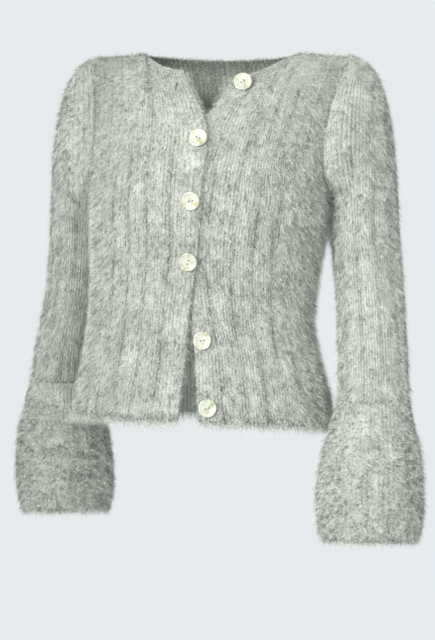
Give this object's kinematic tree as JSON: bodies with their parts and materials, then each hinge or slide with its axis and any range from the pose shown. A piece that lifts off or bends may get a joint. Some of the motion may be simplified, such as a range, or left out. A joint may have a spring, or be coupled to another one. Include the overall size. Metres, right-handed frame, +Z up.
{
  "type": "cardigan",
  "caption": "Long-sleeved fuzzy ribbed knit cardigan with a wide open neck, deep flared cuffs and pearl shell buttons, hollow as worn.",
  "frame": {"origin": "middle of the neck opening, level with the shoulder seams, where the wearer's shoulders carry the garment", "axes": "+Z up, -Y is the garment's front, +X is the wearer's left"},
  "size_m": [0.5652, 0.2747, 0.6278],
  "materials": {
    "wool_knit": "napped ribbed knit",
    "wool_nap": "long napped knit",
    "shell": "polished pearl shell"
  },
  "bodies": {
    "root": {"back": "wool_knit", "front_right": "wool_knit", "front_left": "wool_knit", "sleeve_right": "wool_knit", "sleeve_left": "wool_knit", "cuff_right": "wool_nap", "cuff_left": "wool_nap", "button_1": "shell", "button_2": "shell", "button_3": "shell", "button_4": "shell", "button_5": "shell", "button_6": "shell"}
  },
  "joints": []
}
